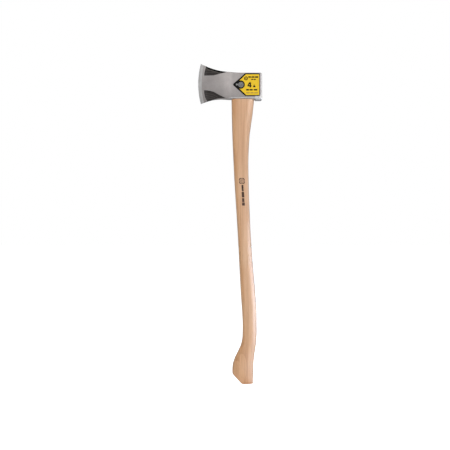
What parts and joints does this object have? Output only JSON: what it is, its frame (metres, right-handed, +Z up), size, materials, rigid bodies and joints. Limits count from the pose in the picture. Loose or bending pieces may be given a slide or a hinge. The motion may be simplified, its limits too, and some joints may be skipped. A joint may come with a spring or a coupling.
{
  "type": "splitting maul",
  "caption": "Two-handed wood-splitting maul: forged wedge head with scooped cheeks and a flat poll, wedged on a long curved hickory handle with a fawn-foot end.",
  "frame": {"origin": "middle of the flat on the butt end of the handle", "axes": "+Z up the handle to the head, -X towards the cutting edge, +X towards the poll, -Y the left cheek as seen with the edge to the left"},
  "size_m": [0.188, 0.0318, 0.943],
  "materials": {
    "lacquered_steel": "forged steel under a thin clear grey lacquer, bit bevel ground bright, cheek scoops painted black",
    "hickory": "satin clear lacquer over straight-grained hickory",
    "wedge_wood": "bare sawn poplar end grain",
    "wedge_steel": "hammered mild steel",
    "label": "printed vinyl, yellow with a black border"
  },
  "bodies": {
    "root": {"axe_head": "lacquered_steel", "handle": "hickory", "kerf_wedge": "wedge_wood", "step_wedge_front": "wedge_steel", "step_wedge_rear": "wedge_steel", "label_left": "label", "label_right": "label"}
  },
  "joints": []
}
